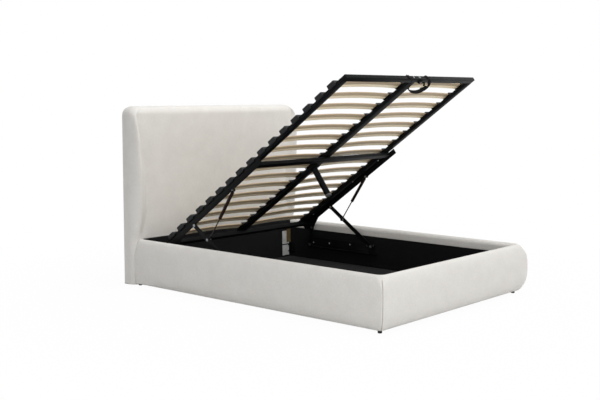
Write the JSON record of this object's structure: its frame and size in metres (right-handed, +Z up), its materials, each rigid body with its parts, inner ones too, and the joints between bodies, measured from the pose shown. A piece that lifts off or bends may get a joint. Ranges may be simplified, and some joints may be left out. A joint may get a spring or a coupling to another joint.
{
  "type": "ottoman storage bed",
  "caption": "Double bed with a fabric-covered rolled base and winged headboard, whose sprung slatted platform lifts from the foot end on arms and gas struts over a storage box.",
  "frame": {"origin": "middle of the bed's overall box, on the floor that its glides stand on", "axes": "+X across the bed, towards the side farther from the camera; +Y from the foot rail to the headboard; +Z up"},
  "size_m": [1.69, 2.225, 1.4655],
  "materials": {
    "upholstery": "woven linen-look upholstery over foam, off-white",
    "timber": "plain softwood and board, unseen inside the upholstery",
    "black_lining": "board covered in black lining cloth",
    "black_plastic": "moulded, slightly textured",
    "grey_plastic": "moulded cap",
    "webbing": "woven nylon webbing",
    "birch": "layered birch, lacquered",
    "zinc_steel": "zinc-plated",
    "strut_rod_steel": "hard-chromed rod",
    "black_steel": "black powder coat"
  },
  "bodies": {
    "base": {"left_rail_cover": "upholstery", "right_rail_cover": "upholstery", "foot_cover": "upholstery", "left_rail_board": "timber", "right_rail_board": "timber", "foot_board": "timber", "left_lining": "black_lining", "right_lining": "black_lining", "foot_lining": "black_lining", "head_lining": "black_lining", "head_crossboard": "timber", "floor_panel_foot": "black_lining", "floor_panel_head": "black_lining", "floor_battens": "timber", "ledge_left": "black_lining", "ledge_right": "black_lining", "headboard_pad": "upholstery", "headboard_frame": "timber", "headboard_back": "black_lining", "wing_left": "upholstery", "wing_right": "upholstery", "corner_glides": "black_plastic", "floor_glides": "black_plastic", "foot_bracket_left": "black_steel", "foot_bracket_right": "black_steel", "head_bracket_left": "black_steel", "head_bracket_right": "black_steel", "bracket_bolts": "zinc_steel", "base_rail_left": "black_steel", "base_rail_right": "black_steel", "base_rail_bolts": "zinc_steel", "base_pivot_pins": "zinc_steel"},
    "lift_arms": {"lift_arm_left": "black_steel", "lift_arm_right": "black_steel"},
    "rear_links": {"rear_link_left": "black_steel", "rear_link_right": "black_steel"},
    "platform": {"platform_tube_left": "black_steel", "platform_tube_right": "black_steel", "foot_bar": "black_steel", "head_bar": "black_steel", "centre_beam": "black_steel", "mid_crossbar": "black_steel", "rear_tie_bar": "black_steel", "hinge_bar_left": "black_steel", "hinge_bar_right": "black_steel", "platform_pins": "zinc_steel", "slats_left": "birch", "slats_right": "birch", "holders_left": "black_plastic", "holders_right": "black_plastic", "holders_centre": "black_plastic", "support_leg": "black_steel", "leg_foot": "grey_plastic", "pull_strap": "webbing", "frame_bolts": "zinc_steel", "strut_studs": "zinc_steel"},
    "strut_cylinders": {"strut_cylinder_left": "black_steel", "strut_cylinder_right": "black_steel"},
    "strut_rods": {"strut_rod_left": "strut_rod_steel", "strut_rod_right": "strut_rod_steel"}
  },
  "joints": [
    {"name": "lift", "type": "hinge", "parent": "base", "child": "lift_arms", "pos_m": [0, 0.1375, 0.2], "axis": [1, 0, 0], "range_deg": [-32.3, 0], "stiffness_Nm_per_rad": 300, "springref_deg": 57.3},
    {"name": "platform_tilt", "type": "hinge", "parent": "lift_arms", "child": "platform", "pos_m": [0, 0.52525, 0.46995], "axis": [1, 0, 0], "range_deg": [0, 68.3]},
    {"name": "rear_link_swing", "type": "hinge", "parent": "base", "child": "rear_links", "pos_m": [0, 0.7375, 0.157], "axis": [1, 0, 0], "range_deg": [-85.15, 0]},
    {"name": "strut_swing", "type": "hinge", "parent": "platform", "child": "strut_cylinders", "pos_m": [0, 0.17546, 0.73027], "axis": [1, 0, 0], "range_deg": [0, 18.37]},
    {"name": "strut_stroke", "type": "slide", "parent": "strut_cylinders", "child": "strut_rods", "axis": [0, -0.5491, 0.8358], "range_m": [0, 0.12675]}
  ],
  "couplings": [
    {"joint": "platform_tilt", "follows": "lift", "ratio": -2.1146},
    {"joint": "rear_link_swing", "follows": "lift", "ratio": 2.6362},
    {"joint": "strut_swing", "follows": "lift", "ratio": -0.56881},
    {"joint": "strut_stroke", "follows": "lift", "m_per_rad": -0.22483}
  ]
}
